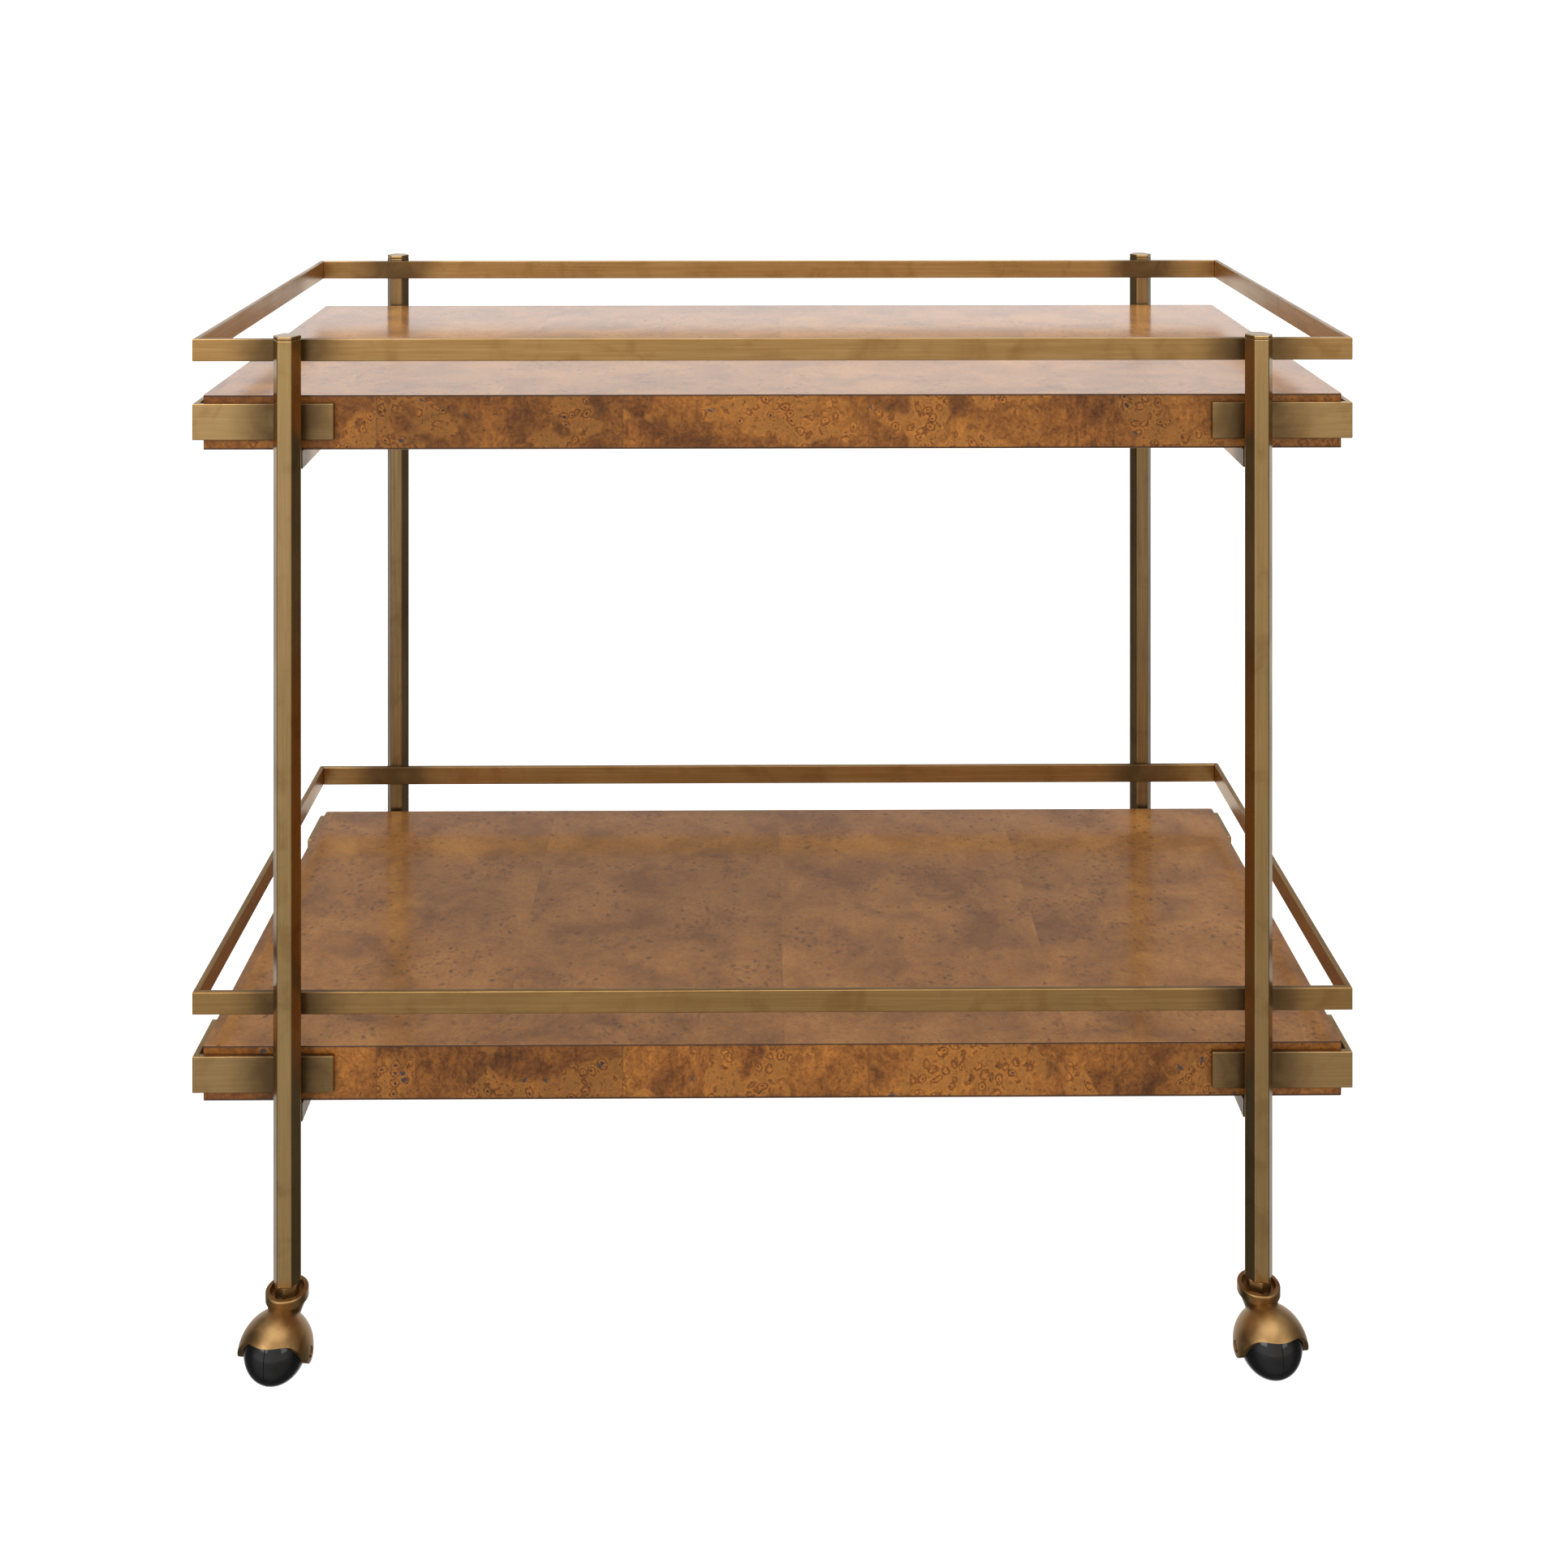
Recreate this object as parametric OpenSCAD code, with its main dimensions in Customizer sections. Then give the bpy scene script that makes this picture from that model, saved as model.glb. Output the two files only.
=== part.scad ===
// Bar cart: two thick burl-veneered shelves held between four hexagonal posts
// by L-shaped corner brackets, a flat-bar gallery rail above each shelf, and a
// hooded ball caster under each post. All sizes are in millimetres.
// The origin is on the floor under the middle of the cart. X runs along the
// shelves, the front is at -Y, and Z points up.

/* [Overall] */
// Length over the gallery rails
cart_length = 914.4; // [800:0.1:1100]
// Depth over the posts
cart_depth = 457.2; // [400:0.1:560]
// Height from the floor to the tops of the posts
cart_height = 798; // [700:1:950]

/* [Posts] */
// Width of a post across its flats
post_flats = 19.05; // [17:0.05:24]
// Wall of the post tube
post_wall = 1.5; // [1:0.1:2]
// Distance from the end of the gallery to the middle of a post
post_inset = 77.2; // [60:0.1:100]
// Thickness of the cap's lid
cap_lid = 3; // [2:0.5:5]
// Depth of the plug under the lid, inside the tube
cap_plug = 8; // [5:1:15]
// Length of the threaded insert at the foot of a post
insert_length = 25; // [20:1:40]

/* [Gallery rails] */
// Height of the flat bar
rail_height = 17.5; // [14:0.5:22]
// Thickness of the flat bar
rail_thickness = 4.5; // [3:0.1:6]
// Distance from the post tops down to the top of the upper rail
rail_drop = 5; // [2:0.5:15]
// Top of the lower rail above the floor
lower_rail_top = 279.5; // [270:0.5:300]

/* [Shelves] */
// Thickness of a finished shelf
shelf_thickness = 43; // [38:0.5:48]
// Top of the upper shelf above the floor
upper_shelf_top = 748; // [735:0.5:760]
// Top of the lower shelf above the floor
lower_shelf_top = 235; // [225:0.5:250]
// Gap between the end of a shelf and the bracket beside it
shelf_end_gap = 2.7; // [1:0.1:4]
// Thickness of the veneer
veneer = 0.8; // [0.6:0.1:1.5]
// Radius of a shelf's upright corners
shelf_corner = 2; // [1:0.5:5]

/* [Corner brackets] */
// Height of the bracket's flat bar
bracket_height = 28.5; // [24:0.5:32]
// Thickness of the bracket's flat bar
bracket_thickness = 4.5; // [3:0.1:6]
// Length of the leg along the shelf's long side
bracket_long_leg = 111; // [100:1:130]
// Length of the leg round the shelf's end
bracket_short_leg = 53; // [40:1:70]
// Distance from the top of the shelf down to the bracket
bracket_drop = 6; // [4:0.5:8]

/* [Bearers] */
// Width of the bar under each end of a shelf
bearer_width = 19; // [15:0.5:22]
// Height of the bar under each end of a shelf
bearer_height = 14; // [12:0.5:18]
// Distance of each screw from the middle of the bearer
screw_reach = 140; // [100:5:170]

/* [Casters] */
// Radius of the ball
ball_radius = 23.8; // [23.5:0.1:24.1]
// Wall of the hollow ball
ball_wall = 5; // [4:0.5:7]
// Distance from the swivel axis to the middle of the ball
trail = 22.4; // [21.5:0.1:23]
// Angle of the ball's offset from the length of the cart
trail_angle = 82; // [45:0.5:90]
// Outer radius of the hood
hood_radius = 28.6; // [28.4:0.1:29]
// Distance from the ball's middle down to the middle of the hood's dome
dome_drop = 2.8; // [2:0.1:3]
// Space between the ball and the inside of the hood
hood_gap = 0.6; // [0.4:0.1:0.8]
// Radius of the collar that the stem turns in
collar_radius = 16.5; // [15:0.1:18]
// Radius of the axle
axle_radius = 2.5; // [2:0.1:3]
// Width of the stem's hexagon across its flats
stem_flats = 17; // [15:0.5:18]

/* [Hidden] */
$fn = 64;
eps = 0.01;

// Each corner: its name, then the signs of X and Y.
corners = [
    ["front_left", -1, -1],
    ["front_right", 1, -1],
    ["rear_left", -1, 1],
    ["rear_right", 1, 1]
];
// Each level: its name, the top of its shelf and the top of its rail.
levels = [
    ["upper", upper_shelf_top, cart_height - rail_drop],
    ["lower", lower_shelf_top, lower_rail_top]
];
long_sides = [["front", -1], ["rear", 1]];
ends = [["left", -1], ["right", 1]];

// Posts
post_x = cart_length / 2 - post_inset;
post_y = (cart_depth - post_flats) / 2;
post_bore_flats = post_flats - 2 * post_wall;
post_foot = 60;
plug_slack = 0.1;

// The rails and brackets lie inside the posts, against their inner flats.
gallery_half_x = cart_length / 2;
gallery_half_y = cart_depth / 2 - post_flats;

// Shelves
shelf_half_x = gallery_half_x - bracket_thickness - shelf_end_gap;
shelf_half_y = gallery_half_y - bracket_thickness;
least_corner = 0.1;

// Screws
screw_radius = 2;
screw_slack = 0.25;
screw_head_radius = 4.5;
screw_head = 2.6;
screw_in_shelf = 22;
recess_depth = 1.4;
recess_radius = 1.5;

// Casters, each in its own frame: the swivel axis is Z, and the ball lies towards +X.
running_gap = 0.05;
press_overlap = 0.02;
spigot_radius = 5.5;
stem_thread_radius = 5;
stem_thread = 22;
stem_hex_foot = 51.8;
spigot_foot = 44.8;
washer_thickness = 0.7;
washer_radius = 8.4;
collar_top = 54.3;
collar_dish = 51;
collar_dish_radius = 13;
collar_shoulder = 47.5;
collar_rounding = 1.2;
neck_top = 47.5;
neck_inset = 0.2;
neck_reach = collar_radius - neck_inset;
neck_slope = 36.7;
neck_lean = neck_slope / 2;
neck_apex = neck_top - 2 * neck_reach / tan(neck_slope);
neck_start = 22;
neck_end = 56;
relief_foot = 40;
relief_radius = 8;
ring_thickness = 1;
ring_gap = 0.3;
ring_radius = 7.2;
ring_groove_radius = 4.6;
rim_front = 15.2;
rim_back = 3;
rim_slope = 62;
ear_radius = 7.5;
rim_fillet_front = 7;
rim_fillet_back = 4;
rim_steps = 4;
ear_inset = 0.1;
ear_side = (ear_radius - ear_inset) * [sin(rim_slope), -cos(rim_slope)];
rim_corner_reach = ear_side[0] + (rim_front - ear_side[1]) / tan(rim_slope);
rim_fillet_centre = [
    rim_corner_reach + rim_fillet_front * tan(rim_slope / 2),
    rim_front - rim_fillet_front
];
boss_radius = 5;
boss_gap = 0.4;
axle_recess_radius = 4;
axle_recess = 1;
axle_half = sqrt(pow(hood_radius, 2) - pow(dome_drop, 2)) - axle_recess;
ball_hub_radius = 6.5;
parting_chamfer = 0.4;

// --- Placing -------------------------------------------------------------

// Children stand on the post axis of one corner.
module at_post(corner) {
    translate([corner[1] * post_x, corner[2] * post_y, 0]) children();
}

// Children are in the caster's own frame, with the ball swung outwards.
module at_caster(corner) {
    yaw = atan2(corner[2] * sin(trail_angle), corner[1] * cos(trail_angle));
    at_post(corner) rotate([0, 0, yaw]) children();
}

// Children are centred on the ball, with Z along the axle, towards the cart's outer side.
module at_axle(corner) {
    outward = corner[1] * corner[2];
    at_caster(corner)
        translate([trail, 0, ball_radius])
            rotate([outward * 90, 0, 0]) children();
}

// A hexagonal bar with two flats facing the front and the rear.
module hex_bar(flats, height) {
    cylinder(r = flats / sqrt(3), h = height, $fn = 6);
}

// --- Posts ---------------------------------------------------------------

module post(corner) {
    tube_top = cart_height - cap_lid;
    color("darkgoldenrod")
        at_post(corner)
            difference() {
                translate([0, 0, post_foot])
                    hex_bar(post_flats, tube_top - post_foot);
                translate([0, 0, post_foot - 1])
                    hex_bar(post_bore_flats, tube_top - post_foot + 2);
            }
}

module post_cap() {
    lid_foot = cart_height - cap_lid;
    translate([0, 0, lid_foot]) hex_bar(post_flats, cap_lid);
    translate([0, 0, lid_foot - cap_plug])
        hex_bar(post_bore_flats - 2 * plug_slack, cap_plug + eps);
}

module post_caps() {
    color("darkgoldenrod")
        for (c = corners) at_post(c) post_cap();
}

// The insert holds the caster's thread.
module post_inserts() {
    color("silver")
        for (c = corners)
            at_post(c)
                translate([0, 0, post_foot])
                    difference() {
                        hex_bar(post_bore_flats, insert_length);
                        translate([0, 0, -1])
                            cylinder(r = stem_thread_radius, h = insert_length + 2);
                    }
}

// --- Gallery rails -------------------------------------------------------

// A flat bar mitred at both ends, with its outer face towards -Y.
module mitred_bar(half_length, offset_y, top) {
    translate([0, -offset_y, top - rail_height])
        linear_extrude(rail_height)
            polygon([
                [-half_length, 0],
                [half_length, 0],
                [half_length - rail_thickness, rail_thickness],
                [-half_length + rail_thickness, rail_thickness]
            ]);
}

module rail_long(level, side) {
    color("darkgoldenrod")
        rotate([0, 0, side[1] < 0 ? 0 : 180])
            mitred_bar(gallery_half_x, gallery_half_y, level[2]);
}

module rail_end(level, side) {
    color("darkgoldenrod")
        rotate([0, 0, side[1] < 0 ? -90 : 90])
            mitred_bar(gallery_half_y, gallery_half_x, level[2]);
}

// --- Corner brackets -----------------------------------------------------

// An L of flat bar round the shelf's corner. A mirror carries it to the other corners.
module bracket(level, corner) {
    color("darkgoldenrod")
        mirror([corner[1] < 0 ? 1 : 0, 0, 0])
            mirror([0, corner[2] < 0 ? 1 : 0, 0])
                translate([gallery_half_x, gallery_half_y,
                           level[1] - bracket_drop - bracket_height])
                    linear_extrude(bracket_height)
                        polygon([
                            [0, 0],
                            [-bracket_long_leg, 0],
                            [-bracket_long_leg, -bracket_thickness],
                            [-bracket_thickness, -bracket_thickness],
                            [-bracket_thickness, -bracket_short_leg],
                            [0, -bracket_short_leg]
                        ]);
}

// --- Shelves -------------------------------------------------------------

// The shelf's outline drawn in by a margin, with true arcs at its corners.
module shelf_outline(margin) {
    half_x = shelf_half_x - margin;
    half_y = shelf_half_y - margin;
    r = max(shelf_corner - margin, least_corner);
    square([2 * half_x, 2 * (half_y - r)], center = true);
    square([2 * (half_x - r), 2 * half_y], center = true);
    for (c = corners)
        translate([c[1] * (half_x - r), c[2] * (half_y - r)]) circle(r);
}

// The upright axes of one shelf's screws.
module at_screws() {
    for (e = ends)
        for (s = long_sides)
            translate([e[1] * post_x, s[1] * screw_reach, 0]) children();
}

module shelf_core(level) {
    foot = level[1] - shelf_thickness + veneer;
    color("burlywood")
        difference() {
            translate([0, 0, foot])
                linear_extrude(shelf_thickness - 2 * veneer) shelf_outline(veneer);
            translate([0, 0, foot - 1])
                at_screws() cylinder(r = screw_radius, h = screw_in_shelf - veneer + 1);
        }
}

module shelf_top_veneer(level) {
    color("peru")
        translate([0, 0, level[1] - veneer])
            linear_extrude(veneer) shelf_outline(0);
}

module shelf_bottom_veneer(level) {
    color("peru")
        translate([0, 0, level[1] - shelf_thickness])
            difference() {
                linear_extrude(veneer) shelf_outline(0);
                translate([0, 0, -1])
                    at_screws() cylinder(r = screw_radius + screw_slack, h = veneer + 2);
            }
}

// The band round all four edges, between the top and bottom veneers.
module shelf_edge_veneer(level) {
    color("peru")
        translate([0, 0, level[1] - shelf_thickness + veneer])
            linear_extrude(shelf_thickness - 2 * veneer)
                difference() {
                    shelf_outline(0);
                    shelf_outline(veneer);
                }
}

// --- Bearers and screws --------------------------------------------------

module bearer(level, side) {
    foot = level[1] - shelf_thickness - bearer_height;
    color("darkgoldenrod")
        translate([side[1] * post_x, 0, foot])
            difference() {
                translate([-bearer_width / 2, -gallery_half_y, 0])
                    cube([bearer_width, 2 * gallery_half_y, bearer_height]);
                for (s = long_sides)
                    translate([0, s[1] * screw_reach, -1])
                        cylinder(r = screw_radius + screw_slack, h = bearer_height + 2);
            }
}

module shelf_screws(level) {
    bearer_foot = level[1] - shelf_thickness - bearer_height;
    color("dimgray")
        translate([0, 0, bearer_foot])
            at_screws()
                difference() {
                    union() {
                        translate([0, 0, -screw_head])
                            cylinder(r1 = screw_head_radius - 1, r2 = screw_head_radius,
                                     h = screw_head);
                        cylinder(r = screw_radius, h = bearer_height + screw_in_shelf);
                    }
                    translate([0, 0, -screw_head - eps])
                        cylinder(r = recess_radius, h = recess_depth, $fn = 6);
                }
}

// --- Casters -------------------------------------------------------------

// Thread, hexagon and spigot in one piece. The spigot turns in the hood's collar.
module caster_stem(corner) {
    ring_top = collar_shoulder - ring_gap;
    color("goldenrod")
        at_post(corner)
            difference() {
                union() {
                    translate([0, 0, spigot_foot])
                        cylinder(r = spigot_radius, h = stem_hex_foot - spigot_foot + eps);
                    translate([0, 0, stem_hex_foot])
                        rotate([0, 0, 30]) hex_bar(stem_flats, post_foot - stem_hex_foot);
                    translate([0, 0, post_foot - eps])
                        cylinder(r = stem_thread_radius, h = stem_thread);
                }
                translate([0, 0, ring_top - ring_thickness])
                    difference() {
                        cylinder(r = spigot_radius + 1, h = ring_thickness);
                        translate([0, 0, -1])
                            cylinder(r = ring_groove_radius, h = ring_thickness + 2);
                    }
            }
}

// Thrust washers between the stems' hexagons and the hoods' collars.
module caster_washers() {
    color("silver")
        for (c = corners)
            at_caster(c)
                translate([0, 0, stem_hex_foot - washer_thickness])
                    difference() {
                        cylinder(r = washer_radius, h = washer_thickness);
                        translate([0, 0, -1])
                            cylinder(r = spigot_radius, h = washer_thickness + 2);
                    }
}

// Split rings in the spigots' grooves. They keep the hoods on.
module caster_retaining_rings() {
    split = 2.4;
    color("silver")
        for (c = corners)
            at_caster(c)
                translate([0, 0, collar_shoulder - ring_gap - ring_thickness])
                    difference() {
                        cylinder(r = ring_radius, h = ring_thickness);
                        translate([0, 0, -1])
                            cylinder(r = ring_groove_radius, h = ring_thickness + 2);
                        translate([-ring_radius - 1, -split / 2, -1])
                            cube([ring_radius + 1, split, ring_thickness + 2]);
                    }
}

// The hood's outline from the side, centred on the ball: a dome with a high rim
// in front, a low rim behind, and a round-ended ear over the axle.
module hood_outline() {
    tall = hood_radius + 1;
    circle(ear_radius);
    polygon(concat(
        [[0, 0], ear_side],
        [for (turn = [rim_slope:-rim_slope / rim_steps:-1])
            rim_fillet_centre + rim_fillet_front * [-sin(turn), cos(turn)]],
        [
            [tall, rim_front],
            [tall, tall],
            [-tall, tall],
            [-tall, rim_back],
            [-ear_radius - rim_fillet_back, rim_back],
            [-ear_radius + 2 * ear_inset, rim_back - rim_fillet_back]
        ]
    ));
}

// The collar: a band with a rounded top edge, on a neck that leans towards the
// ball, so that it is upright in front and runs in behind.
module collar() {
    translate([0, 0, neck_top])
        rotate_extrude() {
            square([collar_radius, collar_top - collar_rounding - neck_top]);
            translate([0, collar_top - collar_rounding - neck_top])
                square([collar_radius - collar_rounding, collar_rounding]);
            translate([
                collar_radius - collar_rounding,
                collar_top - collar_rounding - neck_top
            ])
                circle(collar_rounding);
        }
    intersection() {
        translate([neck_reach, 0, neck_apex])
            rotate([0, -neck_lean, 0])
                translate([0, 0, neck_start])
                    cylinder(
                        r1 = neck_start * tan(neck_lean),
                        r2 = neck_end * tan(neck_lean),
                        h = neck_end - neck_start
                    );
        translate([-hood_radius, -hood_radius, 0])
            cube([2 * hood_radius, 2 * hood_radius, neck_top + 0.5]);
    }
}

module caster_hood(corner) {
    inner = ball_radius + hood_gap;
    boss_foot = ball_radius + boss_gap;
    color("darkgoldenrod")
        at_caster(corner)
            difference() {
                union() {
                    difference() {
                        union() {
                            intersection() {
                                translate([trail, 0, ball_radius - dome_drop])
                                    sphere(hood_radius);
                                translate([trail, hood_radius + 1, ball_radius])
                                    rotate([90, 0, 0])
                                        linear_extrude(2 * hood_radius + 2) hood_outline();
                            }
                            collar();
                        }
                        translate([trail, 0, ball_radius]) sphere(inner);
                    }
                    for (side = [-1, 1])
                        translate([trail, 0, ball_radius])
                            rotate([side * 90, 0, 0])
                                translate([0, 0, boss_foot])
                                    cylinder(r = boss_radius, h = inner - boss_foot + 0.5);
                }
                translate([0, 0, relief_foot])
                    cylinder(r = spigot_radius + running_gap, h = collar_top);
                translate([0, 0, relief_foot])
                    cylinder(r = relief_radius, h = collar_shoulder - relief_foot);
                translate([0, 0, collar_dish])
                    cylinder(r = collar_dish_radius, h = collar_top);
                for (side = [-1, 1])
                    translate([trail, 0, ball_radius])
                        rotate([side * 90, 0, 0]) {
                            translate([0, 0, ball_radius])
                                cylinder(r = axle_radius - press_overlap, h = hood_radius);
                            translate([0, 0, axle_half])
                                cylinder(r = axle_recess_radius, h = hood_radius);
                        }
            }
}

module caster_axle(corner) {
    color("silver")
        at_axle(corner)
            translate([0, 0, -axle_half]) cylinder(r = axle_radius, h = 2 * axle_half);
}

// Half of the ball, from its flat face at z = 0 to its pole: a moulded cup with
// a hub that turns on the axle.
module ball_half() {
    cavity = ball_radius - ball_wall;
    color([0.06, 0.06, 0.07])
        rotate_extrude()
            difference() {
                circle(ball_radius);
                translate([-ball_radius - 1, -ball_radius - 1])
                    square([ball_radius + 1, 2 * ball_radius + 2]);
                translate([-1, -ball_radius - 1]) square([ball_radius + 2, ball_radius + 1]);
                translate([-1, -1])
                    square([axle_radius + running_gap + 1, ball_radius + 2]);
                intersection() {
                    circle(cavity);
                    translate([ball_hub_radius, -1]) square([cavity, cavity - ball_wall]);
                }
                polygon([
                    [ball_radius - parting_chamfer, -eps],
                    [ball_radius + 1, -eps],
                    [ball_radius + 1, 1 + parting_chamfer]
                ]);
            }
}

module ball_outer_half(corner) {
    at_axle(corner) ball_half();
}

module ball_inner_half(corner) {
    at_axle(corner) rotate([180, 0, 0]) ball_half();
}

// --- The cart ------------------------------------------------------------

for (c = corners) {
    post(c);
    caster_stem(c);
    caster_hood(c);
    caster_axle(c);
    ball_outer_half(c);
    ball_inner_half(c);
    for (l = levels)
        bracket(l, c);
}
post_caps();
post_inserts();
caster_washers();
caster_retaining_rings();
for (l = levels) {
    for (s = long_sides)
        rail_long(l, s);
    for (e = ends) {
        rail_end(l, e);
        bearer(l, e);
    }
    shelf_core(l);
    shelf_top_veneer(l);
    shelf_bottom_veneer(l);
    shelf_edge_veneer(l);
    shelf_screws(l);
}
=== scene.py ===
import math

import bpy
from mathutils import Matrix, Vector


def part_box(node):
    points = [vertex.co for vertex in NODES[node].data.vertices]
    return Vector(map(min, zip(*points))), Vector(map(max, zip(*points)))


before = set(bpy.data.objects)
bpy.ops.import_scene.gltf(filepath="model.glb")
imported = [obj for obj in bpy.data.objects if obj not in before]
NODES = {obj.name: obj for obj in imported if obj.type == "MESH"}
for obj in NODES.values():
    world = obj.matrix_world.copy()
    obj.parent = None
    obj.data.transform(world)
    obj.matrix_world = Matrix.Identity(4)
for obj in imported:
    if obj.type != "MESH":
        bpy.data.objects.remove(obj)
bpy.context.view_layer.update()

CORNERS = ("front_left", "front_right", "rear_left", "rear_right")
LEVELS = ("upper", "lower")
X, Y, Z = 0, 1, 2
SHELF_TOP = {level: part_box(f"{level}_shelf_top_veneer")[1].z for level in LEVELS}
SHELF_FOOT = {level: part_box(f"{level}_shelf_bottom_veneer")[0].z for level in LEVELS}
POST_X = sum(corner.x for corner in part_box("post_front_right")) / 2
POST_Y = -sum(corner.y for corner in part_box("post_front_right")) / 2


class Graph:
    """The node tree of a material or world, with one method for each kind of node."""

    def __init__(self, owner):
        owner.use_nodes = True
        self.tree = owner.node_tree
        self.tree.nodes.clear()

    def node(self, kind, **settings):
        made = self.tree.nodes.new(kind)
        for key, value in settings.items():
            setattr(made, key, value)
        return made

    def feed(self, socket, value):
        if isinstance(value, bpy.types.NodeSocket):
            self.tree.links.new(value, socket)
        elif value is not None:
            socket.default_value = value

    def place(self, output="Object"):
        return self.node("ShaderNodeTexCoord").outputs[output]

    def math(self, operation, a, b=None):
        made = self.node("ShaderNodeMath", operation=operation)
        self.feed(made.inputs[0], a)
        self.feed(made.inputs[1], b)
        return made.outputs[0]

    def vector(self, operation, a, b):
        made = self.node("ShaderNodeVectorMath", operation=operation)
        self.feed(made.inputs[0], a)
        self.feed(made.inputs[1], b)
        return made.outputs[0]

    def split(self, vector):
        made = self.node("ShaderNodeSeparateXYZ")
        self.feed(made.inputs[0], vector)
        return made.outputs

    def join(self, x, y, z):
        made = self.node("ShaderNodeCombineXYZ")
        for socket, value in zip(made.inputs, (x, y, z)):
            self.feed(socket, value)
        return made.outputs[0]

    def noise(self, point, scale, detail=3.0, rough=0.5, twist=0.0, output="Fac"):
        made = self.node("ShaderNodeTexNoise")
        values = {"Vector": point, "Scale": scale, "Detail": detail}
        values.update({"Roughness": rough, "Distortion": twist})
        for key, value in values.items():
            self.feed(made.inputs[key], value)
        return made.outputs[output]

    def cells(self, point, scale):
        made = self.node("ShaderNodeTexVoronoi")
        self.feed(made.inputs["Vector"], point)
        self.feed(made.inputs["Scale"], scale)
        return made.outputs["Distance"], made.outputs["Color"]

    def ease(self, value, start, end, low=0.0, high=1.0):
        """low before start, high after end, and a smooth step between them."""
        made = self.node("ShaderNodeMapRange", interpolation_type="SMOOTHSTEP")
        sockets = (made.inputs[n] for n in (0, 1, 2, 3, 4))
        for socket, given in zip(sockets, (value, start, end, low, high)):
            self.feed(socket, given)
        return made.outputs[0]

    def mix(self, share, a, b, blend="MIX"):
        made = self.node("ShaderNodeMix", data_type="RGBA", blend_type=blend)
        self.feed(made.inputs[0], share)
        self.feed(made.inputs[6], a)
        self.feed(made.inputs[7], b)
        return made.outputs[2]

    def ramp(self, share, stops):
        made = self.node("ShaderNodeValToRGB")
        elements = made.color_ramp.elements
        while len(elements) < len(stops):
            elements.new(0.5)
        for element, (position, colour) in zip(elements, stops):
            element.position = position
            element.color = (*colour, 1.0)
        self.feed(made.inputs[0], share)
        return made.outputs[0]

    def bump(self, height, distance, strength=1.0):
        made = self.node("ShaderNodeBump")
        values = {"Height": height, "Distance": distance, "Strength": strength}
        for key, value in values.items():
            self.feed(made.inputs[key], value)
        return made.outputs[0]

    def shade(self, **inputs):
        """The surface's shader, each keyword a socket's name with _ for a space."""
        shader = self.node("ShaderNodeBsdfPrincipled")
        for key, value in inputs.items():
            self.feed(shader.inputs[key.replace("_", " ")], value)
        output = self.node("ShaderNodeOutputMaterial")
        self.tree.links.new(shader.outputs[0], output.inputs["Surface"])


def colour(red, green, blue):
    return (red, green, blue, 1.0)


def near_posts(graph, x, y, start, reach):
    """1 up to start from a post's axis, falling to 0 at reach, along the cart's length or depth."""
    along = graph.math("ABSOLUTE", graph.math("SUBTRACT", graph.math("ABSOLUTE", x), POST_X))
    across = graph.math("ABSOLUTE", graph.math("SUBTRACT", graph.math("ABSOLUTE", y), POST_Y))
    distance = graph.math("MAXIMUM", along, across)
    return graph.ease(distance, start, reach, 1.0, 0.0)


RAIL_TONE = (0.357, 0.204, 0.069)
# Dark brown beside the posts, partly patina and partly painted shade where the bars meet the posts: its
# tone and its reach.
POST_PATINA_AND_SHADE = (0.095, 0.055, 0.022)
POST_PATINA_AND_SHADE_REACH = (0.014, 0.056)


def brushed_brass(name, axis, body=RAIL_TONE, grain=0.55, rough=0.3, patina_and_shade=0.95):
    """Antique brass brushed along one axis, browned in cloudy patches, and darkened beside the posts by
    patina and painted shade.
    """
    material = bpy.data.materials.new(name)
    graph = Graph(material)
    point = graph.place()
    x, y, z = graph.split(point)
    along = [1.0 if n == axis else 60.0 for n in range(3)]
    fine = graph.noise(graph.vector("MULTIPLY", point, along), 28.0, 5.0, 0.65)
    coarse = graph.noise(graph.vector("MULTIPLY", point, along), 7.0, 3.0, 0.6)
    cloud = graph.noise(point, 34.0, 4.0, 0.6, 0.6)
    smear = graph.noise(point, 9.0, 3.0, 0.55, 0.4)
    tone = graph.ramp(fine, ((0.25, (0.86, 0.85, 0.83)), (0.75, (1.07, 1.07, 1.08))))
    base = graph.mix(1.0, colour(*body), tone, "MULTIPLY")
    base = graph.mix(graph.ease(coarse, 0.35, 0.7, 0.0, 0.22), base, colour(0.60, 0.40, 0.19))
    aged = graph.ease(cloud, 0.48, 0.72, 0.0, 0.45)
    base = graph.mix(aged, base, colour(body[0] * 0.62, body[1] * 0.52, body[2] * 0.42))
    # Painted shade and patina where the bar meets a post, darkest beside the post and fading with distance.
    corner = near_posts(graph, x, y, *POST_PATINA_AND_SHADE_REACH)
    corner = graph.math("MULTIPLY", corner, graph.ease(cloud, 0.2, 0.6, 0.7, 1.0))
    corner = graph.math("MULTIPLY", corner, patina_and_shade)
    base = graph.mix(corner, base, colour(*POST_PATINA_AND_SHADE))
    roughness = graph.ease(smear, 0.3, 0.75, rough - 0.05, rough + 0.10)
    roughness = graph.math("ADD", roughness, graph.math("MULTIPLY", corner, 0.15))
    normal = graph.bump(fine, 0.00012, grain)
    graph.shade(
        Base_Color=base, Metallic=1.0, Roughness=roughness, Normal=normal,
        Coat_Weight=0.12, Coat_Roughness=0.25,
    )
    return material


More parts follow.
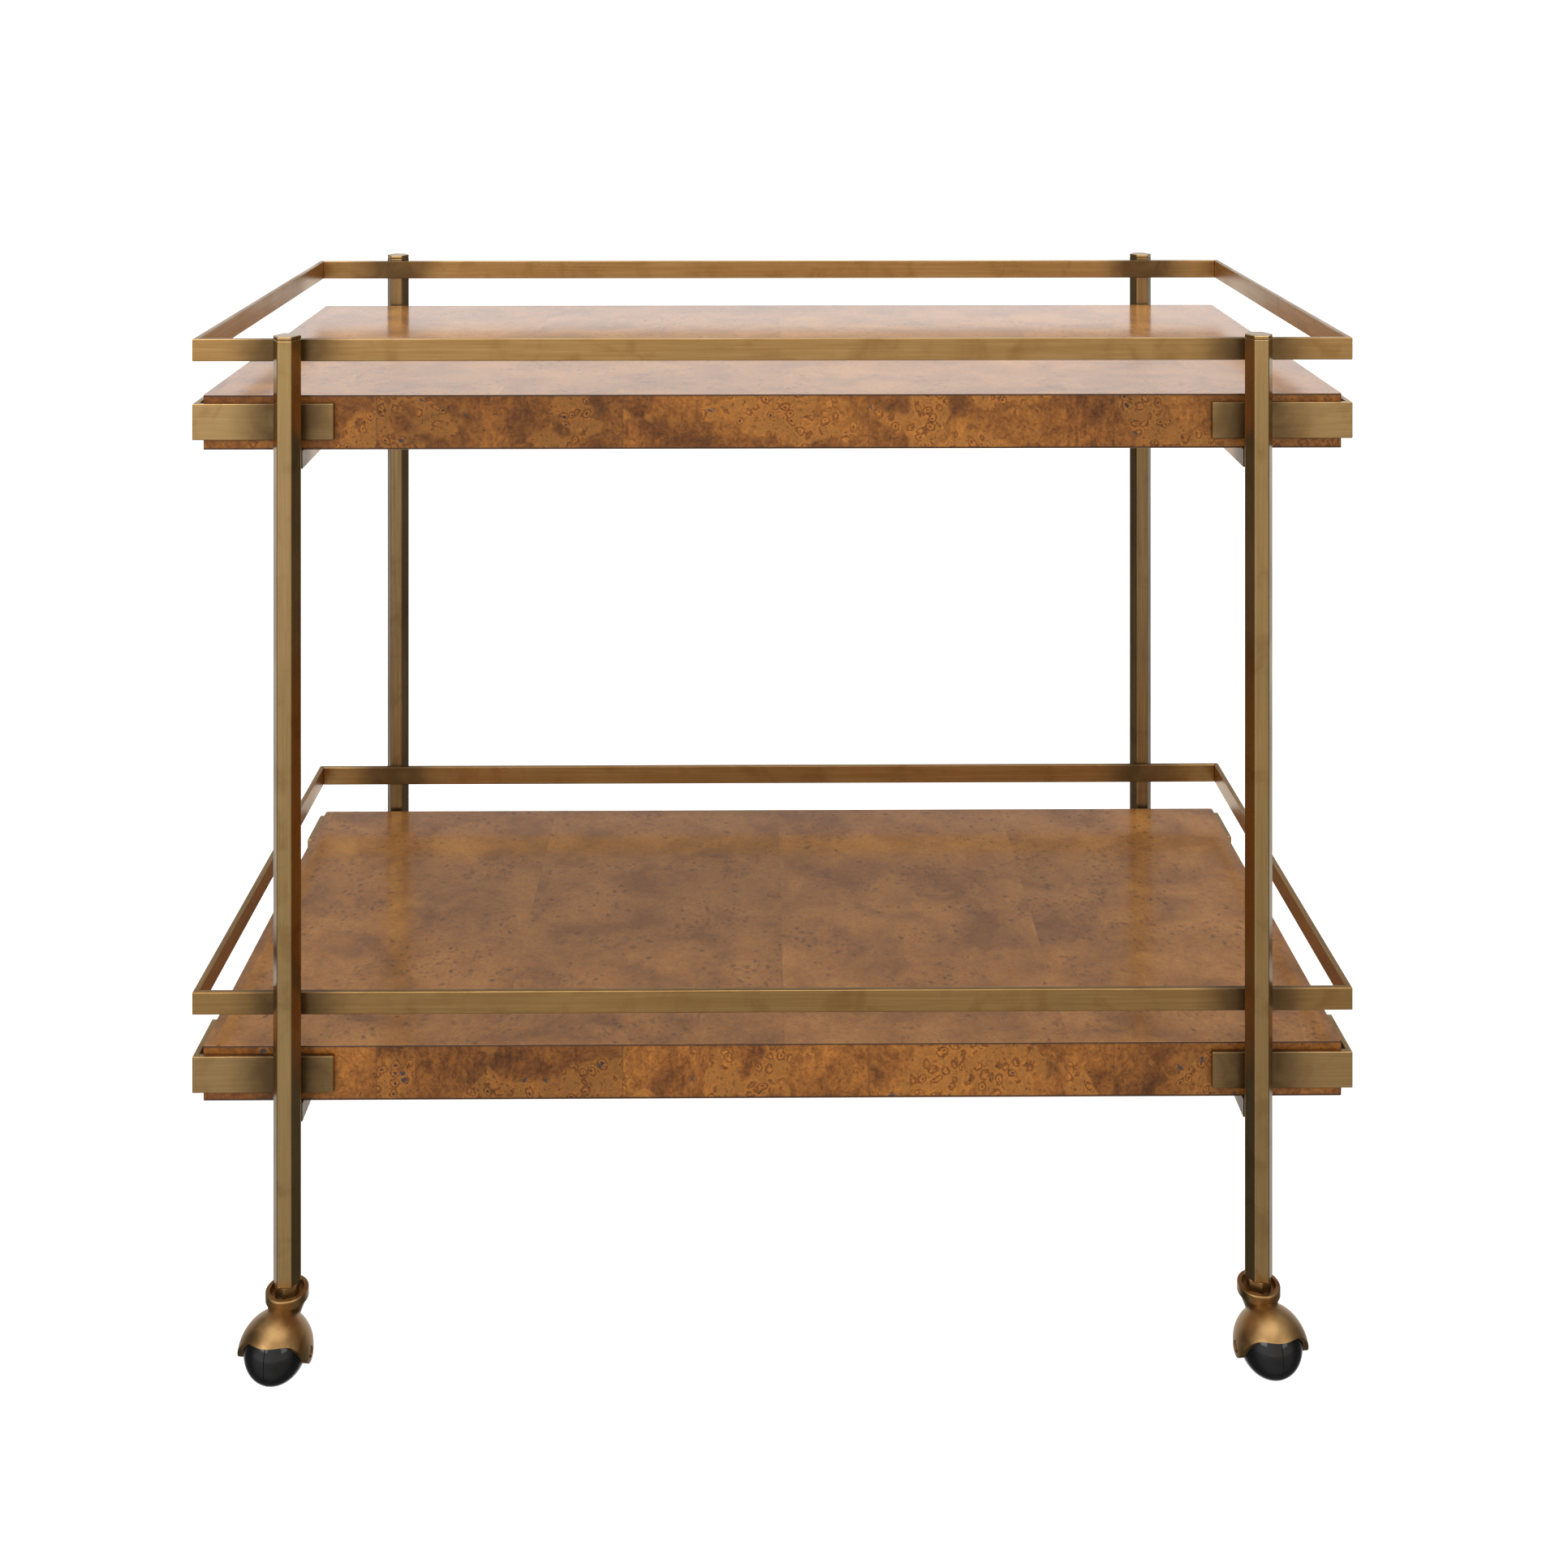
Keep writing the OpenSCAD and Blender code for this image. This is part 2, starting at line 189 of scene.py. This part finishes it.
def satin_brass(name):
    """Smooth antique brass of the casters' castings, in two cloudy tones."""
    material = bpy.data.materials.new(name)
    graph = Graph(material)
    point = graph.place()
    cloud = graph.noise(point, 55.0, 4.0, 0.6, 0.5)
    grain = graph.noise(point, 900.0, 3.0, 0.6)
    base = graph.ramp(cloud, ((0.30, (0.21, 0.118, 0.042)), (0.62, (0.33, 0.195, 0.075))))
    base = graph.mix(graph.ease(grain, 0.55, 0.75, 0.0, 0.4), base, colour(0.18, 0.10, 0.04))
    roughness = graph.ease(cloud, 0.3, 0.7, 0.36, 0.46)
    graph.shade(
        Base_Color=base, Metallic=1.0, Roughness=roughness,
        Normal=graph.bump(grain, 0.00005, 0.3), Coat_Weight=0.15, Coat_Roughness=0.18,
    )
    return material


def leaf_of(graph, x, start, width):
    """The number of the veneer leaf at x, and the distance from there to the nearest seam."""
    place = graph.math("DIVIDE", graph.math("SUBTRACT", x, start), width)
    share = graph.math("FRACT", place)
    nearest = graph.math("MINIMUM", share, graph.math("SUBTRACT", 1.0, share))
    return graph.math("FLOOR", place), graph.math("MULTIPLY", nearest, width)


def warped(graph, point, scale, reach):
    """point pushed about by a noise, by up to about reach."""
    push = graph.noise(point, scale, 2.0, 0.5, 0.0, "Color")
    push = graph.vector("SUBTRACT", push, (0.5, 0.5, 0.5))
    return graph.vector("ADD", point, graph.vector("MULTIPLY", push, (2.0 * reach,) * 3))


CURL = (0.045, 0.016, 0.005)
PUPIL = (0.022, 0.018, 0.020)
KNOT = (0.030, 0.030, 0.034)
SEAM = (0.05, 0.022, 0.01)
SHEET_EDGE = (0.02, 0.010, 0.005)
EDGE_LINE = (0.03, 0.014, 0.007)
MOTTLE_TINTS = ((0.3, (0.66, 0.60, 0.54)), (0.5, (1.0, 1.0, 1.0)), (0.7, (1.22, 1.20, 1.12)))
RIB_TINTS = ((0.35, (0.60, 0.55, 0.50)), (0.6, (1.15, 1.13, 1.08)))
FINE_TINTS = ((0.36, (0.56, 0.51, 0.45)), (0.60, (1.24, 1.22, 1.16)))
RING_TINTS = (
    (0.00, (0.26, 0.19, 0.14)),
    (0.12, (0.50, 0.40, 0.30)),
    (0.20, (1.40, 1.32, 1.15)),
    (0.27, (1.20, 1.12, 1.00)),
    (0.37, (0.52, 0.43, 0.35)),
    (0.44, (0.66, 0.58, 0.50)),
    (0.54, (1.25, 1.18, 1.05)),
    (0.70, (1.0, 1.0, 1.0)),
)


def shade_of(tone, share):
    return colour(*(part * share for part in tone))


def tinted(graph, share, base, driver, tints):
    """base times the ramp of tints over driver, by share."""
    return graph.mix(share, base, graph.ramp(driver, tints), "MULTIPLY")


def burl_ground(graph, flat, curly, ragged, look):
    """The wood between the clusters: clouds, mottle, ribs, a fine grain and shadows."""
    tones = look["tones"]
    cloud = graph.noise(curly, 19.0, 4.0, 0.55, 0.4)
    base = graph.ramp(cloud, ((0.32, tones[0]), (0.48, tones[1]), (0.66, tones[2])))
    mottle = graph.noise(ragged, 120.0, 4.0, 0.6, 0.6)
    base = tinted(graph, look["mottle"], base, mottle, MOTTLE_TINTS)
    ribs = graph.noise(graph.vector("MULTIPLY", curly, look["rib_way"]), 300.0, 3.0, 0.6)
    ribbed = graph.ease(graph.noise(flat, 9.0, 2.0, 0.5), 0.45, 0.62, 0.0, look["ribs"])
    base = tinted(graph, ribbed, base, ribs, RIB_TINTS)
    fine = graph.noise(ragged, 330.0, 4.0, 0.7)
    base = tinted(graph, look["fine"], base, fine, FINE_TINTS)
    gloom = graph.noise(curly, 13.0, 3.0, 0.6, 0.8)
    shadow = graph.ease(gloom, 0.56, 0.72, 0.0, look["shadow"])
    return graph.mix(shadow, base, shade_of(tones[0], 0.5)), mottle


def burl_clusters(graph, ragged, cluster, look, base):
    """Golden clusters with dark curls and ringed eyes, some with a black pupil."""
    rare = look["rare"]
    inside = graph.ease(cluster, rare, rare + 0.05)
    base = graph.mix(graph.math("MULTIPLY", inside, look["amber"]), base, colour(*look["gold"]))
    hills = graph.noise(ragged, look["loop_scale"], 2.0, 0.5, 1.6)
    loops = graph.math("PINGPONG", graph.math("MULTIPLY", hills, 15.0), 0.5)
    loops = graph.ease(loops, 0.0, 0.30, 1.0, 0.0)
    loops = graph.math("MULTIPLY", loops, graph.ease(cluster, rare, rare + 0.08))
    base = graph.mix(graph.math("MULTIPLY", loops, look["loops"]), base, colour(*CURL))

    eye, eye_random = graph.cells(ragged, look["eye_scale"])
    chance = graph.split(eye_random)
    chosen = graph.math("MULTIPLY", graph.ease(chance[0], 0.30, 0.34), inside)
    base = tinted(graph, graph.math("MULTIPLY", chosen, look["eyes"]), base, eye, RING_TINTS)
    pupil = graph.math("MULTIPLY", graph.ease(eye, 0.10, 0.22, 1.0, 0.0), graph.ease(chance[1], 0.72, 0.76))
    pupil = graph.math("MULTIPLY", pupil, graph.math("MULTIPLY", chosen, 0.92))
    return graph.mix(pupil, base, colour(*PUPIL))


def burl_specks(graph, ragged, cluster, look, base):
    """Small dark specks with a halo, gathered about the clusters, and a few black knots."""
    speck, speck_random = graph.cells(ragged, look["speck_scale"])
    chance = graph.split(speck_random)
    gathered = graph.ease(cluster, 0.46, 0.60, look["few"], look["many"])
    chosen = graph.math("LESS_THAN", chance[0], gathered)
    size = graph.ease(chance[1], 0.0, 1.0, 0.18, 0.40)
    dark = graph.ease(speck, graph.math("MULTIPLY", size, 0.45), size, 1.0, 0.0)
    halo_start = graph.math("MULTIPLY", size, 0.8)
    halo_end = graph.math("MULTIPLY", size, 2.4)
    halo = graph.ease(speck, halo_start, halo_end, 0.45, 0.0)
    mark = graph.math("MULTIPLY", graph.math("MAXIMUM", dark, halo), chosen)
    base = graph.mix(graph.math("MULTIPLY", mark, 0.82), base, colour(*look["speck_tone"]))

    knot, knot_random = graph.cells(ragged, 62.0)
    chosen = graph.ease(graph.split(knot_random)[0], 0.66, 0.68)
    chosen = graph.math("MULTIPLY", chosen, look["knots"])
    chosen = graph.math("MULTIPLY", chosen, graph.ease(cluster, 0.47, 0.52))
    black = graph.math("MULTIPLY", graph.ease(knot, 0.09, 0.17, 1.0, 0.0), chosen)
    return graph.mix(black, base, colour(*KNOT))


def sheet_edges(graph, z, base):
    """Darkens the thin edges of the top and bottom veneers, but not their faces."""
    for level in LEVELS:
        below = graph.math("ABSOLUTE", graph.math("SUBTRACT", SHELF_TOP[level], z))
        above = graph.math("ABSOLUTE", graph.math("SUBTRACT", z, SHELF_FOOT[level]))
        inward = graph.math("MINIMUM", below, above)
        edge = graph.ease(inward, 0.00003, 0.0002)
        edge = graph.math("MULTIPLY", edge, graph.ease(inward, 0.002, 0.003, 1.0, 0.0))
        base = graph.mix(edge, base, colour(*SHEET_EDGE))
    return base


def edge_lines(graph, z, base):
    """Dark lines along the top and the foot of the edge veneer."""
    for level in LEVELS:
        for height in (SHELF_TOP[level], SHELF_FOOT[level]):
            away = graph.math("ABSOLUTE", graph.math("SUBTRACT", z, height))
            base = graph.mix(graph.ease(away, 0.0007, 0.0022, 0.75, 0.0), base, colour(*EDGE_LINE))
    return base


def burl(name, look):
    """Varnished burl veneer in leaves, with the figure and the gloss of look."""
    material = bpy.data.materials.new(name)
    graph = Graph(material)
    point = graph.place()
    x, y, z = graph.split(point)
    leaf, seam = leaf_of(graph, x, look["leaf_start"], look["leaf_width"])
    shift = graph.join(*(graph.math("MULTIPLY", leaf, step) for step in (0.613, 1.37, 0.291)))
    flat = graph.vector("ADD", point, shift)
    curly = warped(graph, flat, 30.0, 0.008)
    ragged = warped(graph, curly, 260.0, 0.0026)

    base, mottle = burl_ground(graph, flat, curly, ragged, look)
    cluster = graph.noise(flat, look["cluster_scale"], 3.0, 0.55, 0.3)
    base = burl_clusters(graph, ragged, cluster, look, base)
    base = burl_specks(graph, ragged, cluster, look, base)
    pores = graph.noise(ragged, 760.0, 2.0, 0.6)
    base = graph.mix(graph.ease(pores, 0.60, 0.72, 0.0, 0.30), base, shade_of(look["tones"][0], 0.4))
    tint = graph.node("ShaderNodeTexWhiteNoise", noise_dimensions="1D")
    graph.feed(tint.inputs["W"], leaf)
    tone = graph.ease(tint.outputs["Value"], 0.0, 1.0, *look["leaf_tones"])
    base = graph.mix(1.0, base, graph.join(tone, tone, tone), "MULTIPLY")
    base = graph.mix(graph.ease(seam, 0.0002, 0.0007, look["seam"], 0.0), base, colour(*SEAM))
    base = look["outline"](graph, z, base)

    ripple = graph.noise(point, 90.0, 2.0, 0.5)
    graph.shade(
        Base_Color=base,
        Roughness=graph.ease(mottle, 0.3, 0.7, 0.42, 0.55),
        Normal=graph.bump(pores, 0.00003, 0.25),
        Coat_Weight=look["coat"],
        Coat_Roughness=look["haze"],
        Coat_IOR=1.5,
        Coat_Normal=graph.bump(ripple, 0.00005, 0.3),
        Specular_IOR_Level=0.15,
    )
    return material


def core_board(name):
    """The bare edge and notches of the board inside the veneers."""
    material = bpy.data.materials.new(name)
    graph = Graph(material)
    point = graph.place()
    fibres = graph.noise(graph.vector("MULTIPLY", point, (1.0, 1.0, 6.0)), 260.0, 5.0, 0.7)
    chips = graph.noise(point, 70.0, 3.0, 0.6, 0.8)
    base = graph.ramp(fibres, ((0.3, (0.26, 0.17, 0.09)), (0.7, (0.55, 0.41, 0.26))))
    base = graph.mix(graph.ease(chips, 0.4, 0.7, 0.0, 0.5), base, colour(0.30, 0.19, 0.10))
    graph.shade(Base_Color=base, Roughness=0.85, Normal=graph.bump(fibres, 0.0002, 0.6))
    return material


def glossy_black(name):
    """Polished black with fine scuffs and dust."""
    material = bpy.data.materials.new(name)
    graph = Graph(material)
    point = graph.place()
    scuff = graph.noise(graph.vector("MULTIPLY", point, (1.0, 3.0, 9.0)), 190.0, 4.0, 0.7, 0.8)
    dust = graph.noise(point, 2100.0, 2.0, 0.5)
    base = graph.ramp(scuff, ((0.5, (0.003, 0.003, 0.0035)), (0.85, (0.014, 0.013, 0.013))))
    base = graph.mix(graph.ease(dust, 0.72, 0.80, 0.0, 0.35), base, colour(0.10, 0.098, 0.095))
    roughness = graph.ease(scuff, 0.5, 0.85, 0.12, 0.30)
    graph.shade(
        Base_Color=base, Roughness=roughness, Normal=graph.bump(scuff, 0.00003, 0.3),
        Specular_IOR_Level=0.28, Coat_Weight=0.08, Coat_Roughness=0.05,
    )
    return material


def plain_steel(name, dark=(0.30, 0.29, 0.28), light=(0.56, 0.55, 0.53)):
    """Turned steel between a dark and a light tone."""
    material = bpy.data.materials.new(name)
    graph = Graph(material)
    point = graph.place()
    turned = graph.noise(graph.vector("MULTIPLY", point, (2.0, 2.0, 30.0)), 160.0, 4.0, 0.6)
    base = graph.ramp(turned, ((0.3, dark), (0.7, light)))
    roughness = graph.ease(turned, 0.3, 0.7, 0.26, 0.42)
    graph.shade(Base_Color=base, Metallic=1.0, Roughness=roughness, Normal=graph.bump(turned, 0.00004, 0.4))
    return material


# ---------------------------------------------------------------- finishes

POST_TONE = (0.40, 0.262, 0.106)
# The rear posts are the same brass as the front posts, darkened here as painted shade.
SHADED_REAR_POST_TONE = (0.235, 0.152, 0.066)
BRACKET_TONE = (0.405, 0.258, 0.106)
# Dark brown steel tones for the caster axles: painted shade of the hood's recess where the axle's end sits.
RECESS_SHADED_STEEL = ((0.10, 0.060, 0.026), (0.19, 0.115, 0.050))

# Where a number is a share it runs from 0 to 1; scales are per metre, and lengths are in metres.
TOP_LOOK = {
    "tones": ((0.215, 0.088, 0.019), (0.295, 0.128, 0.029), (0.37, 0.168, 0.040)),
    "leaf_start": -0.4425,
    "leaf_width": 0.2255,
    "leaf_tones": (0.96, 1.04),
    "seam": 0.05,
    "mottle": 0.45,
    "fine": 0.35,
    "ribs": 0.15,
    "rib_way": (1.0, 0.15, 1.0),
    "shadow": 0.30,
    "cluster_scale": 17.0,
    "rare": 0.53,
    "amber": 0.0,
    "gold": (0.4, 0.18, 0.045),
    "loop_scale": 80.0,
    "loops": 0.06,
    "eye_scale": 210.0,
    "eyes": 0.35,
    "speck_scale": 190.0,
    "speck_tone": (0.085, 0.036, 0.010),
    "few": 0.03,
    "many": 0.40,
    "knots": 0.35,
    "outline": sheet_edges,
    "coat": 1.0,
    "haze": 0.16,
}
EDGE_LOOK = {
    "tones": ((0.075, 0.025, 0.0045), (0.148, 0.052, 0.008), (0.225, 0.084, 0.014)),
    "leaf_start": -0.5075,
    "leaf_width": 0.1942,
    "leaf_tones": (0.84, 1.12),
    "seam": 0.40,
    "mottle": 0.85,
    "fine": 0.75,
    "ribs": 0.70,
    "rib_way": (1.0, 1.0, 0.12),
    "shadow": 0.55,
    "cluster_scale": 17.0,
    "rare": 0.515,
    "amber": 0.6,
    "gold": (0.27, 0.108, 0.018),
    "loop_scale": 85.0,
    "loops": 0.48,
    "eye_scale": 120.0,
    "eyes": 1.0,
    "speck_scale": 420.0,
    "speck_tone": (0.035, 0.013, 0.004),
    "few": 0.04,
    "many": 0.22,
    "knots": 0.9,
    "outline": edge_lines,
    "coat": 0.13,
    "haze": 0.22,
}

BRASS = [
    brushed_brass("brass_x", X),
    brushed_brass("brass_y", Y),
    brushed_brass("brass_z", Z, POST_TONE, grain=0.15, rough=0.24, patina_and_shade=0.0),
]
# A darker copy of the post brass for the rear posts: painted shade.
SHADED_REAR_BRASS = brushed_brass("brass_rear_shaded", Z, SHADED_REAR_POST_TONE, patina_and_shade=0.0)
BRACKET_BRASS = brushed_brass("brass_bracket", X, BRACKET_TONE)
HOOD_BRASS = satin_brass("brass_satin")
BURL_TOP = burl("burl_top", TOP_LOOK)
BURL_EDGE = burl("burl_edge", EDGE_LOOK)
CORE = core_board("core_board")
BLACK = glossy_black("black_gloss")
STEEL = plain_steel("steel_plain")
# The axle steel is darkened to paint the shade in the hood's recess.
RECESS_SHADED_AXLE_STEEL = plain_steel("steel_axle_recess_shaded", *RECESS_SHADED_STEEL)

BAR_ROUND = 0.0006
BEARER_ROUND = 0.0008
VENEER_ROUND = 0.0003
POST_ROUND = 0.0009
CAP_ROUND = 0.0008
STEM_ROUND = 0.0004


def paint(obj, material):
    obj.data.materials.clear()
    obj.data.materials.append(material)


def soften(obj, width, segments=3, limit=25.0):
    """Rounds a CAD node's sharp edges with modifiers, without touching its mesh."""
    weld = obj.modifiers.new("weld", "WELD")
    weld.merge_threshold = 1e-5
    flatten = obj.modifiers.new("flatten", "DECIMATE")
    flatten.decimate_type = "DISSOLVE"
    flatten.angle_limit = math.radians(0.2)
    bevel = obj.modifiers.new("round", "BEVEL")
    bevel.width = width
    bevel.segments = segments
    bevel.limit_method = "ANGLE"
    bevel.angle_limit = math.radians(limit)
    bevel.harden_normals = True
    obj.modifiers.new("normals", "WEIGHTED_NORMAL").keep_sharp = True


for level in LEVELS:
    for side in ("front", "rear", "left", "right"):
        rail = NODES[f"{level}_rail_{side}"]
        paint(rail, BRASS[X if side in ("front", "rear") else Y])
        soften(rail, BAR_ROUND)
    for corner in CORNERS:
        bracket = NODES[f"{level}_bracket_{corner}"]
        paint(bracket, BRACKET_BRASS)
        soften(bracket, BAR_ROUND)
    for side in ("left", "right"):
        bearer = NODES[f"{level}_bearer_{side}"]
        paint(bearer, BRASS[Y])
        soften(bearer, BEARER_ROUND)
    for part in ("top_veneer", "bottom_veneer"):
        paint(NODES[f"{level}_shelf_{part}"], BURL_TOP)
    paint(NODES[f"{level}_shelf_edge_veneer"], BURL_EDGE)
    soften(NODES[f"{level}_shelf_edge_veneer"], VENEER_ROUND, 2)
    paint(NODES[f"{level}_shelf_core"], CORE)
    paint(NODES[f"{level}_shelf_screws"], STEEL)
for corner in CORNERS:
    post = NODES[f"post_{corner}"]
    paint(post, BRASS[Z] if corner.startswith("front") else SHADED_REAR_BRASS)
    soften(post, POST_ROUND)
    paint(NODES[f"caster_stem_{corner}"], HOOD_BRASS)
    soften(NODES[f"caster_stem_{corner}"], STEM_ROUND, 2)
    paint(NODES[f"caster_hood_{corner}"], HOOD_BRASS)
    paint(NODES[f"caster_axle_{corner}"], RECESS_SHADED_AXLE_STEEL)
    for half in ("outer", "inner"):
        paint(NODES[f"ball_{half}_half_{corner}"], BLACK)
paint(NODES["post_caps"], BRASS[Z])
soften(NODES["post_caps"], CAP_ROUND)
for fixing in ("post_inserts", "caster_washers", "caster_retaining_rings"):
    paint(NODES[fixing], STEEL)


# ---------------------------------------------------------------- camera and light

EYE = Vector((-0.0135, -1.6369, SHELF_TOP["upper"] + 0.316))
YAW = math.radians(-0.443)
SENSOR_WIDTH = 36.0
LENS = 41.61
SHIFT_X = 0.0085
SHIFT_Y = -0.5036


def level_camera():
    """A level camera above the cart's top, with the lens shifted down to the cart."""
    camera = bpy.data.objects.new("camera", bpy.data.cameras.new("camera"))
    bpy.context.scene.collection.objects.link(camera)
    camera.location = EYE
    camera.rotation_euler = (math.radians(90.0), 0.0, YAW)
    camera.data.sensor_width = SENSOR_WIDTH
    camera.data.lens = LENS
    camera.data.shift_x = SHIFT_X
    camera.data.shift_y = SHIFT_Y
    bpy.context.scene.camera = camera


BACK_LOW = (1.06, 1.07, 1.09)
BACK_HIGH = (0.30, 0.30, 0.31)
FRONT_LEFT = (0.90, 0.885, 0.87)
FRONT_RIGHT = (0.68, 0.645, 0.60)
SIDES = (0.09, 0.085, 0.08)
ABOVE = (0.95, 0.95, 0.95)
BACKDROP = (1.0, 1.0, 1.0)


def studio():
    """The world the cart mirrors, by direction, behind a backdrop that only the camera sees.

    It is white low behind, grey in front and dimmer towards the floor, dark at the sides and pale above.
    """
    world = bpy.data.worlds.new("studio")
    bpy.context.scene.world = world
    graph = Graph(world)
    x, y, z = graph.split(graph.place("Generated"))
    front_tone = graph.mix(graph.ease(x, -0.4, 0.4), colour(*FRONT_LEFT), colour(*FRONT_RIGHT))
    dimmer = graph.ease(z, -0.55, -0.12, 0.70, 1.0)
    dimmer = graph.math("ADD", dimmer, graph.ease(z, -0.165, -0.115, 0.0, 0.7))
    front_tone = graph.mix(1.0, front_tone, graph.join(dimmer, dimmer, dimmer), "MULTIPLY")
    back_tone = graph.mix(graph.ease(z, 0.18, 0.42), colour(*BACK_LOW), colour(*BACK_HIGH))
    light = graph.mix(graph.ease(y, -0.75, -0.08, 1.0, 0.0), colour(*SIDES), front_tone)
    light = graph.mix(graph.ease(y, 0.30, 0.90), light, back_tone)
    light = graph.mix(graph.ease(z, 0.45, 0.9), light, colour(*ABOVE))
    seen = graph.node("ShaderNodeLightPath").outputs["Is Camera Ray"]
    background = graph.node("ShaderNodeBackground")
    graph.feed(background.inputs["Color"], graph.mix(seen, light, colour(*BACKDROP)))
    output = graph.node("ShaderNodeOutputWorld")
    graph.tree.links.new(background.outputs[0], output.inputs["Surface"])


def softbox(name, place, target, size, power):
    """A square area light of the given size, turned to its target."""
    data = bpy.data.lights.new(name, "AREA")
    data.shape = "SQUARE"
    data.size = size
    data.energy = power
    lamp = bpy.data.objects.new(name, data)
    bpy.context.scene.collection.objects.link(lamp)
    lamp.location = place
    lamp.rotation_euler = (Vector(target) - Vector(place)).to_track_quat("-Z", "Y").to_euler()


FLOOR_HALF = 300.0
FLOOR_GREY = 0.35
FLOOR_GLOW = 0.93


def pale_floor():
    """A plain floor, lit up to white, that the cart's brass and varnish don't mirror."""
    h = FLOOR_HALF
    data = bpy.data.meshes.new("floor")
    data.from_pydata([(-h, -h, 0), (h, -h, 0), (h, h, 0), (-h, h, 0)], [], [(0, 1, 2, 3)])
    floor = bpy.data.objects.new("floor", data)
    bpy.context.scene.collection.objects.link(floor)
    material = bpy.data.materials.new("floor")
    graph = Graph(material)
    matt = graph.node("ShaderNodeBsdfDiffuse")
    graph.feed(matt.inputs["Color"], colour(FLOOR_GREY, FLOOR_GREY, FLOOR_GREY))
    glow = graph.node("ShaderNodeEmission")
    graph.feed(glow.inputs["Strength"], FLOOR_GLOW)
    both = graph.node("ShaderNodeAddShader")
    graph.feed(both.inputs[0], matt.outputs[0])
    graph.feed(both.inputs[1], glow.outputs[0])
    output = graph.node("ShaderNodeOutputMaterial")
    graph.feed(output.inputs["Surface"], both.outputs[0])
    data.materials.append(material)
    floor.visible_glossy = False


level_camera()
studio()
softbox("top_box", (0.0, -0.3, 3.2), (0.0, 0.0, 0.4), 3.0, 70.0)
softbox("front_left_box", (-2.2, -3.0, 2.2), (0.0, 0.0, 0.5), 1.8, 45.0)
softbox("front_right_box", (2.6, -3.0, 1.8), (0.0, 0.0, 0.4), 1.6, 22.0)
pale_floor()
bpy.context.scene.view_settings.view_transform = "Standard"
bpy.context.scene.cycles.max_bounces = 6
bpy.context.scene.cycles.diffuse_bounces = 3
bpy.context.scene.cycles.glossy_bounces = 4
